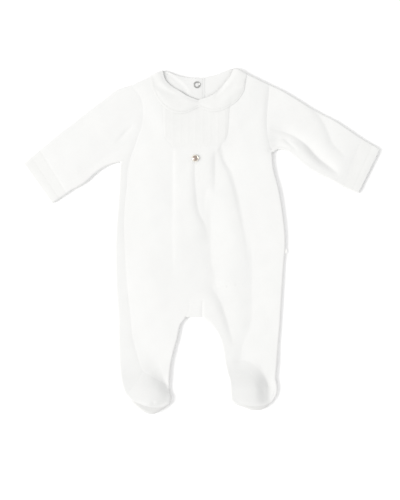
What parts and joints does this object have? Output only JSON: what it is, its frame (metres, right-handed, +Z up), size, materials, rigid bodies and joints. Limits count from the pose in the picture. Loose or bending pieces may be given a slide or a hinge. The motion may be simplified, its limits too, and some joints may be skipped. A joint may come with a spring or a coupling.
{
  "type": "footed baby sleepsuit",
  "caption": "Newborn footed sleepsuit laid flat, front up: long sleeves with cuffs, round collar, inset bib, pleated front, closed feet, and a snap opening down the back.",
  "frame": {"origin": "centre of the garment's box, on the surface it lies on", "axes": "+X towards the right of someone looking at the front, +Y towards the neck, +Z up out of the front"},
  "size_m": [0.5264, 0.5147, 0.0225],
  "materials": {
    "velour": "matte",
    "cotton": "matte",
    "tape": "matte",
    "brass": "polished",
    "steel": "satin"
  },
  "bodies": {
    "root": {"front": "velour", "bib": "cotton", "back_left": "velour", "back_right": "velour", "gusset": "velour", "sleeve_left": "velour", "sleeve_right": "velour", "cuff_left": "cotton", "cuff_right": "cotton", "collar_left": "cotton", "collar_right": "cotton", "foot_left": "velour", "foot_right": "velour", "sole_left": "velour", "sole_right": "velour", "side_tag": "tape", "button": "brass", "snap_1": "steel", "snap_2": "steel", "snap_3": "steel", "snap_4": "steel", "snap_5": "steel"}
  },
  "joints": []
}
